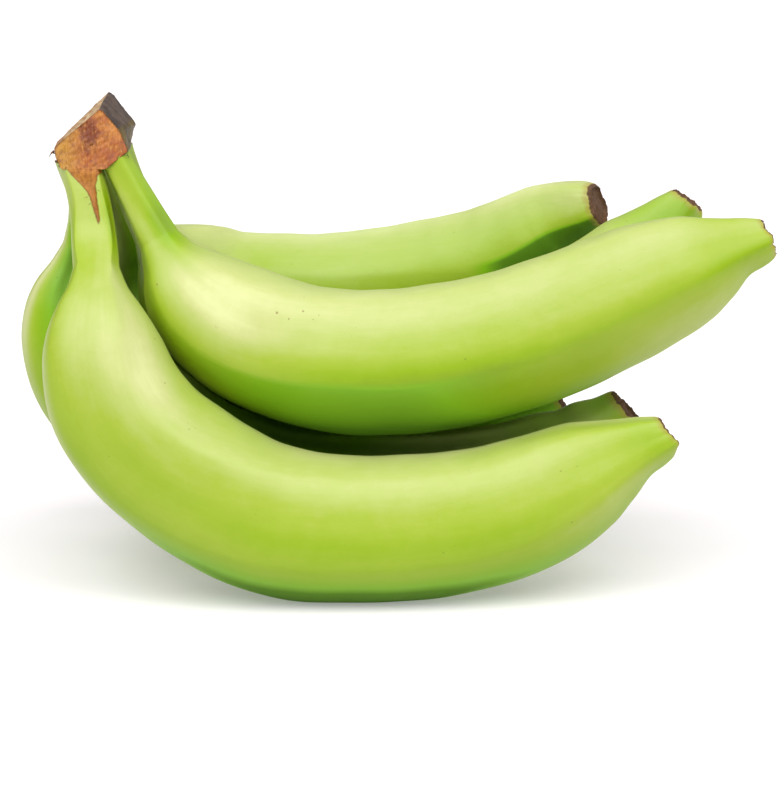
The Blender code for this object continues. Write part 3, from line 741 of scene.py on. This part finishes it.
def crown_loop(corners):
    """A closed outline with the set count of points on each edge, its corners a little rounded."""
    nodes = []
    corners = np.array(corners, float)
    for count, a, b in zip(CROWN_COUNTS, corners, np.roll(corners, -1, axis=0)):
        nodes.extend(a + (b - a) * k / count for k in range(count))
    nodes = np.array(nodes)
    for _ in range(2):
        nodes = 0.5 * nodes + 0.25 * (np.roll(nodes, 1, axis=0) + np.roll(nodes, -1, axis=0))
    return nodes


def crown_rings():
    """Rings of the crown from the middle of its front cap to that of its back cap, with each one's depth:
    below 0 on the front cap, from 0 to 1 along the side and over 1 on the back cap."""
    front = crown_loop(CROWN_FRONT)
    rear = crown_loop(CROWN_REAR)
    rings = []
    depths = []

    def ring(loop, far, depth):
        rings.append(np.stack([loop[:, 0], far, loop[:, 1]], axis=-1))
        depths.append(depth)

    for k in range(CROWN_CAPS, 0, -1):
        share = 1 - (k / (CROWN_CAPS + 0.5)) ** 1.3
        loop = front.mean(axis=0) + share * (front - front.mean(axis=0))
        ring(loop, knife_front(loop[:, 1]), -share)
    for share in np.linspace(0.0, 1.0, CROWN_DEPTHS):
        loop = front * (1 - share) + rear * share
        bulge = CROWN_BULGE * math.sin(math.pi * min(1.0, share * 1.1))
        bulge = bulge - WORN_BACK * smoothstep(0.97, 1.0, share)
        worn = (1 - smoothstep(0.0, 0.02, share)) * smoothstep(*FACE_FADE, loop[:, 1])
        bulge = bulge - WORN_FRONT * worn
        loop = loop + bulge[:, None] * unit(loop - loop.mean(axis=0))
        near = knife_front(loop[:, 1])
        ring(loop, near + share * (CROWN_BACK - near), share)
    for k in range(1, CROWN_CAPS):
        share = (1 - k / CROWN_CAPS) ** 0.9
        loop = rear.mean(axis=0) + share * (rear - rear.mean(axis=0)) * 0.99
        ring(loop, np.full(len(loop), CROWN_BACK), 1.0 + 0.01 * k)
    return np.array(rings), np.array(depths)


def wobble(points, scale, seed):
    """Cheap smooth noise from a sum of turned sines, between about -1 and 1."""
    draw = np.random.default_rng(seed)
    total = np.zeros(len(points))
    for _ in range(9):
        way = draw.normal(size=3)
        way *= draw.uniform(0.6, 1.6) / (np.linalg.norm(way) * scale)
        total += np.sin(points @ way * 2 * math.pi + draw.uniform(0, 2 * math.pi))
    return total / 3.5


def make_crown(material):
    grid, depths = crown_rings()
    rows, count = grid.shape[:2]
    points = grid.reshape(-1, 3)
    depth = np.repeat(depths, count)
    outward = unit((points - points.mean(axis=0)) * (1.0, 0.3, 1.0))
    on_side = (depth >= 0) & (depth <= 1)
    rough = sum(height * wobble(points, size, seed) for height, size, seed in BARK_ROUGHNESS)
    rough = np.where(on_side, rough * smoothstep(0.0, 0.04, np.abs(depth)), 0.0)
    points = points + rough[:, None] * outward
    fibre = 0.10 * wobble(points * (1.0, 1.0, 0.35), 1.1, 14) + 0.12 * wobble(points, 4.0, 15)
    points[:, 1] += np.where(depth < 0, fibre * smoothstep(*FACE_FADE, points[:, 2]), 0.0)
    back = 3.0 * fibre - BACK_HOLLOW + 0.3 * wobble(points, 9.0, 16)
    points[:, 1] += back * smoothstep(0.9, 1.0, depth)

    edges = np.repeat(np.arange(len(CROWN_COUNTS), dtype=float), CROWN_COUNTS)
    fields = {"depth": depth, "edge": np.tile(edges, rows)}
    fields = {key: np.concatenate([value, [value[0], value[-1]]]) for key, value in fields.items()}
    ends = [points[:count].mean(axis=0), points[-count:].mean(axis=0)]
    points = np.concatenate([points, ends], axis=0)
    head = [(rows * count, (k + 1) % count, k) for k in range(count)]
    last = (rows - 1) * count
    tail = [(last + k, rows * count + 1, last + (k + 1) % count) for k in range(count)]
    made = mesh_object("crown_block", points, grid_faces(rows, count), head + tail, fields, material)
    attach(made, "root")
    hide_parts("crown")
    return made


def make_strands(material):
    points, quads, others = [], [], []
    ring = np.arange(STRAND_SIDES) * 2 * math.pi / STRAND_SIDES
    for foot, way, length, thick, bend in STRANDS:
        way = unit(np.array(way))
        side = unit(np.cross(way, (0.0, 1.0, 0.0)))
        other = np.cross(way, side)
        base = len(points)
        for k in range(STRAND_RINGS):
            share = k / STRAND_RINGS
            centre = np.array(foot) + way * length * share + side * bend * length * share * share
            reach = thick * (1 - share) ** 0.7
            points.extend(centre + reach * (math.cos(a) * side + math.sin(a) * other) for a in ring)
        quads.extend((grid_faces(STRAND_RINGS, STRAND_SIDES) + base).tolist())
        points.append(np.array(foot) + way * length + side * bend * length)
        tip = len(points) - 1
        last = tip - STRAND_SIDES
        others.extend((last + k, tip, last + (k + 1) % STRAND_SIDES) for k in range(STRAND_SIDES))
        others.append(tuple(range(base, base + STRAND_SIDES)))
    made = mesh_object("crown_strands", points, np.array(quads), others, {}, material)
    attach(made, "root")
    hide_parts("crown")
    return made


class Nodes:
    """Short calls for building a material's nodes."""

    def __init__(self, name):
        self.material = bpy.data.materials.new(name)
        self.material.use_nodes = True
        self.tree = self.material.node_tree
        self.shader = self.tree.nodes["Principled BSDF"]

    def add(self, kind, inputs=(), **settings):
        made = self.tree.nodes.new("ShaderNode" + kind)
        for key, value in settings.items():
            setattr(made, key, value)
        for key, value in dict(inputs).items():
            self.put(made.inputs[key], value)
        return made

    def put(self, socket, value):
        if isinstance(value, bpy.types.NodeSocket):
            self.tree.links.new(value, socket)
        else:
            socket.default_value = value

    def set_shader(self, values):
        for key, value in values.items():
            self.put(self.shader.inputs[key], value)

    def field(self, name):
        return self.add("Attribute", attribute_name=name).outputs["Fac"]

    def place(self):
        return self.add("TexCoord").outputs["Object"]

    def millimetres(self, place):
        """The place's x and z in the lengths that the shapes use."""
        parts = self.add("SeparateXYZ", {"Vector": place})
        x = self.maths("MULTIPLY_ADD", parts.outputs["X"], 1 / MM, MIDDLE[0])
        return x, self.maths("MULTIPLY", parts.outputs["Z"], 1 / MM)

    def maths(self, operation, a, b=0.0, c=0.0, clamp=False):
        made = self.add("Math", operation=operation, use_clamp=clamp)
        for key, value in enumerate((a, b, c)):
            self.put(made.inputs[key], value)
        return made.outputs[0]

    def times(self, a, b):
        return self.maths("MULTIPLY", a, b)

    def plus(self, base, pattern, amount, clamp=False):
        """The base with an amount of the pattern added to it."""
        return self.maths("MULTIPLY_ADD", pattern, amount, base, clamp)

    def above(self, value, low, high, to_low=0.0, to_high=1.0):
        """A smooth step from 0 to 1 as the value runs from low to high."""
        made = self.add("MapRange", interpolation_type="SMOOTHSTEP")
        for key, number in enumerate((value, low, high, to_low, to_high)):
            self.put(made.inputs[key], number)
        return made.outputs[0]

    def below(self, value, low, high):
        """A smooth step from 1 to 0 as the value runs from low to high."""
        return self.above(value, low, high, 1.0, 0.0)

    def mix(self, factor, a, b):
        made = self.add("Mix", data_type="RGBA")
        self.put(made.inputs[0], factor)
        for key, value in ((6, a), (7, b)):
            self.put(made.inputs[key], value if isinstance(value, bpy.types.NodeSocket) else (*value, 1.0))
        return made.outputs[2]

    def stain(self, colour, where, amount, paint):
        """The colour with an amount of paint over it where the pattern is 1."""
        return self.mix(self.times(where, amount), colour, paint)

    def between(self, pattern, low, high, a, b):
        """Two colours that change over as the pattern runs from low to high."""
        return self.mix(self.above(pattern, low, high), a, b)

    def noise(self, vector, scale, detail=2.0, roughness=0.5):
        inputs = {"Vector": vector, "Scale": scale, "Detail": detail, "Roughness": roughness}
        return self.add("TexNoise", inputs).outputs["Fac"]

    def near(self, place, spots, wander):
        """How near the closest of some spots is, from 1 on it to 0 outside, with ragged edges."""
        total = 0.0
        for x, y, z, size in spots:
            away = self.add("VectorMath", operation="DISTANCE")
            self.put(away.inputs[0], place)
            self.put(away.inputs[1], (x * MM, y * MM, z * MM))
            share = self.plus(wander, away.outputs["Value"], 1 / (size * MM))
            total = self.maths("MAXIMUM", total, self.below(share, 0.55, 1.05))
        return total

    def relief(self, layers):
        """The surface's normal under layers of bumps, each (height, strength, distance)."""
        normal = None
        for height, strength, distance in layers:
            made = self.add("Bump", {"Strength": strength, "Distance": distance, "Height": height})
            if normal is not None:
                self.put(made.inputs["Normal"], normal)
            normal = made.outputs["Normal"]
        return normal

    def finish(self, colour, roughness, specular, layers):
        self.set_shader({"Base Color": colour, "Roughness": roughness, "Specular IOR Level": specular,
                         "Normal": self.relief(layers)})
        return self.material


def peel_ground(n, broad, mottle):
    """The peel's colour, painted highlight and painted shade included, from the fields of its tone and
    greens, and where the darkest green of painted shade lies.
    """
    lengthwise = n.add("CombineXYZ", {
        "X": n.times(n.field("along"), 0.06),
        "Y": n.times(n.field("round_x"), 9.0),
        "Z": n.times(n.field("round_y"), 9.0),
    }).outputs[0]
    tone = n.plus(n.field("tone"), broad, 0.36)
    tone = n.plus(tone, n.noise(lengthwise, 1.2, 3.0, 0.6), 0.24)
    tone = n.plus(tone, mottle, 0.30)
    tone = n.maths("SUBTRACT", tone, TONE_NOISE_MEAN + DEEPEST_SHADE)
    tone = n.maths("DIVIDE", tone, PALEST_BLOOM_AND_SHEEN - DEEPEST_SHADE, clamp=True)
    ramp = n.add("ValToRGB", {"Fac": tone})
    stops = ramp.color_ramp.elements
    while len(stops) < len(PEEL_TONES):
        stops.new(0.5)
    for stop, (at, colour) in zip(stops, PEEL_TONES):
        stop.position = (at - DEEPEST_SHADE) / (PALEST_BLOOM_AND_SHEEN - DEEPEST_SHADE)
        stop.color = (*colour, 1.0)
    green = n.field("green")
    # Green beyond 1 mixes in the darker green of painted shade
    deep = n.maths("SUBTRACT", green, 1.0, clamp=True)
    colour = n.mix(n.maths("MULTIPLY", green, 0.95, clamp=True), ramp.outputs["Color"], PEEL_GREEN)
    colour = n.mix(deep, colour, PEEL_SHADE_GREEN)
    # Brighter green as painted light on a shaded flank
    return n.mix(n.maths("MULTIPLY", n.field("painted_light_green"), 0.95, clamp=True), colour, PEEL_PAINTED_LIGHT), deep


def peel_material():
    n = Nodes("green_peel")
    place = n.place()
    broad = n.noise(place, 60.0, 3.0, 0.55)
    mottle = n.noise(place, 260.0, 4.0, 0.6)
    wander = n.maths("MULTIPLY_ADD", n.noise(place, 700.0, 3.0, 0.6), 2.0, -1.0)
    colour, deep = peel_ground(n, broad, mottle)

    specks = n.above(n.noise(place, 900.0, 2.0, 0.4), 0.735, 0.775)
    sparse = n.above(n.noise(place, 90.0, 2.0, 0.5), 0.5, 0.66)
    colour = n.stain(colour, n.times(specks, sparse), 0.55, seen(92, 104, 30))
    colour = n.stain(colour, n.near(place, SPECKS, wander), 0.6, seen(128, 92, 34))

    # Blossom end: a yellowed band, then the dried edge and scar
    to_rim = n.field("to_rim")
    burn = n.field("burn")
    band = n.below(n.plus(n.plus(to_rim, burn, -1.6), wander, 0.9), -0.2, 1.3)
    colour = n.stain(colour, band, 0.6, seen(184, 158, 70))
    dead = n.below(n.maths("SUBTRACT", n.plus(to_rim, wander, 0.35), burn), -0.12, 0.18)
    dried = n.mix(n.noise(place, 900.0, 4.0, 0.65), seen(56, 36, 22), seen(134, 96, 66))
    colour = n.mix(dead, colour, dried)

    # Stalk end: browned under the crown, and raw inside the knife's cut
    colour = n.mix(n.below(n.plus(n.field("to_seat"), wander, 0.6), -0.4, 0.0), colour, seen(120, 78, 30))
    cut = n.plus(n.field("cut"), wander, 0.35)
    raw = n.above(cut, -0.08, 0.10)
    raw_colour, raw_relief = cut_tissue(n, place)
    colour = n.mix(raw, colour, raw_colour)
    edge = n.times(n.above(cut, -0.35, -0.02), n.below(cut, 0.05, 0.45))
    colour = n.stain(colour, edge, 0.45, seen(120, 70, 22))

    roughness = n.maths("MULTIPLY_ADD", mottle, 0.16, 0.34)
    for where, amount in ((dead, 0.35), (raw, 0.1), (deep, 0.4)):
        roughness = n.plus(roughness, where, amount, clamp=True)
    return n.finish(colour, roughness, 0.3, (
        (broad, 0.25, 0.0012), (mottle, 0.20, 0.0004), (n.noise(place, 1500.0, 2.0, 0.5), 0.10, 0.0001),
        (n.times(raw_relief, raw), 0.6, 0.0004),
    ))


def cut_tissue(n, place):
    """Colour and relief of the knife's cut, in orange, yellow and dark reddish brown."""
    x, z = n.millimetres(place)
    coarse = n.noise(place, 240.0, 3.0, 0.6)
    medium = n.noise(place, 620.0, 4.0, 0.65)
    grain = {"Vector": place, "Scale": (1.0, 1.0, 0.28), "Rotation": (0.0, 0.12, 0.0)}
    fibre = n.noise(n.add("Mapping", grain).outputs[0], 1500.0, 3.0, 0.6)
    colour = n.between(coarse, 0.36, 0.64, seen(178, 92, 34), seen(208, 132, 54))
    bent_x = n.plus(x, coarse, 7.0)
    colour = n.stain(colour, n.below(bent_x, -81.5, -75.5), 0.8, seen(206, 152, 52))
    off_x = n.maths("ADD", bent_x, 75.0)
    off_z = n.maths("SUBTRACT", z, 117.5)
    core = n.plus(n.times(off_x, off_x), n.times(off_z, off_z), 0.35)
    core = n.below(n.plus(core, medium, 12.0), 6.0, 18.0)
    for where, amount, paint in (
        (core, 0.8, seen(118, 48, 12)),
        (n.below(z, 106.0, 109.5), 0.8, seen(188, 124, 38)),
        (n.below(medium, 0.34, 0.56), 0.45, seen(124, 58, 18)),
        (n.below(fibre, 0.34, 0.5), 0.4, seen(120, 60, 20)),
        (n.above(fibre, 0.54, 0.72), 0.5, seen(232, 168, 80)),
    ):
        colour = n.stain(colour, where, amount, paint)
    return colour, n.plus(n.times(medium, 0.5), fibre, 0.5)


def crown_material():
    n = Nodes("cut_crown")
    place = n.place()
    x, z = n.millimetres(place)
    coarse = n.noise(place, 200.0, 4.0, 0.6)
    medium = n.noise(place, 700.0, 4.0, 0.65)
    depth = n.field("depth")
    skin = n.between(coarse, 0.35, 0.65, seen(70, 53, 45), seen(110, 92, 80))
    skin = n.stain(skin, n.below(medium, 0.36, 0.52), 0.6, seen(72, 52, 40))

    # Pale bark on the upper left side, browner at its low end
    up_left = n.below(n.plus(n.field("edge"), medium, 0.6), 0.4, 1.0)
    up_left = n.times(up_left, n.below(n.plus(depth, coarse, 0.12), 0.98, 1.06))
    bark = n.between(medium, 0.40, 0.58, seen(176, 128, 84), seen(232, 204, 158))
    low_end = n.below(n.plus(z, coarse, 5.0), 116.0, 122.5)
    skin = n.mix(up_left, skin, n.stain(bark, low_end, 0.75, seen(168, 104, 50)))

    # Olive facet low on the right
    low_right = n.times(n.below(n.plus(z, medium, 2.0), 119.3, 120.3), n.above(x, -74.0, -72.0))
    olive = n.between(coarse, 0.35, 0.65, seen(70, 58, 14), seen(128, 104, 40))
    skin = n.stain(skin, low_right, 0.9, olive)

    # The cut face, with a darker lip over the stalks
    face, face_relief = cut_tissue(n, place)
    lip = n.times(n.below(depth, -0.975, -0.94), n.above(z, 110.5, 113.0))
    lip = n.times(lip, n.below(depth, -0.03, -0.01))
    face = n.stain(face, lip, 0.6, seen(112, 58, 18))
    on_side = n.above(n.plus(depth, medium, 0.02), -0.02, 0.012)
    colour = n.mix(on_side, face, skin)
    return n.finish(colour, n.maths("MULTIPLY_ADD", medium, 0.25, 0.36), 0.35, (
        (coarse, 0.5, 0.0008), (medium, 0.6, 0.0004), (face_relief, 0.6, 0.0003),
    ))


def strand_material():
    n = Nodes("dry_strands")
    tone = n.noise(n.place(), 1200.0, 3.0, 0.6)
    colour = n.between(tone, 0.35, 0.65, seen(62, 38, 20), seen(142, 92, 42))
    return n.finish(colour, n.maths("MULTIPLY_ADD", tone, 0.2, 0.6), 0.5, ((tone, 0.3, 0.0001),))


def make_floor():
    corners = [(-1, -1), (1, -1), (1, 1), (-1, 1)]
    mesh = bpy.data.meshes.new("floor")
    mesh.from_pydata([(x * FLOOR_REACH, y * FLOOR_REACH, 0.0) for x, y in corners], [], [(0, 1, 2, 3)])
    n = Nodes("pale_floor")
    n.set_shader({
        "Base Color": (*FLOOR_COLOUR, 1.0), "Emission Color": (1.0, 1.0, 1.0, 1.0),
        "Emission Strength": FLOOR_GLOW, "Roughness": 0.7, "Specular IOR Level": 0.2,
    })
    mesh.materials.append(n.material)
    floor = bpy.data.objects.new("floor", mesh)
    bpy.context.scene.collection.objects.link(floor)


def make_light():
    world = bpy.data.worlds.new("studio")
    world.use_nodes = True
    background = world.node_tree.nodes["Background"]
    background.inputs["Color"].default_value = (1.0, 1.0, 1.0, 1.0)
    background.inputs["Strength"].default_value = AMBIENT
    bpy.context.scene.world = world
    for name, azimuth, elevation, strength in LAMPS:
        lamp = bpy.data.lights.new(name, "SUN")
        lamp.energy = strength
        lamp.angle = math.radians(LAMP_WIDTH)
        turn, rise = math.radians(azimuth), math.radians(elevation)
        level = math.cos(rise)
        toward = Vector((math.sin(turn) * level, -math.cos(turn) * level, math.sin(rise)))
        made = bpy.data.objects.new(name, lamp)
        made.rotation_euler = toward.to_track_quat("Z", "Y").to_euler()
        bpy.context.scene.collection.objects.link(made)


def make_camera():
    lens = bpy.data.cameras.new("camera")
    lens.sensor_fit = "AUTO"
    lens.sensor_width = SENSOR
    lens.lens = SENSOR * FOCAL_PIXELS / max(FRAME_SIZE)
    lens.clip_start = 0.01
    lens.clip_end = 50.0
    camera = bpy.data.objects.new("camera", lens)
    back = Vector((0.0, -math.cos(ELEVATION), math.sin(ELEVATION)))
    camera.location = Vector(TARGET) + back * DISTANCE
    camera.rotation_euler = back.to_track_quat("Z", "Y").to_euler()
    bpy.context.scene.collection.objects.link(camera)
    bpy.context.scene.camera = camera


def main():
    make_camera()
    peel = peel_material()
    for name, finger in FINGERS.items():
        make_finger(name, {**PLAIN_FINGER, **finger}, peel)
    make_crown(crown_material())
    make_strands(strand_material())
    make_floor()
    make_light()
    bpy.context.scene.view_settings.view_transform = "Standard"
    bpy.context.scene.view_settings.look = "None"


main()
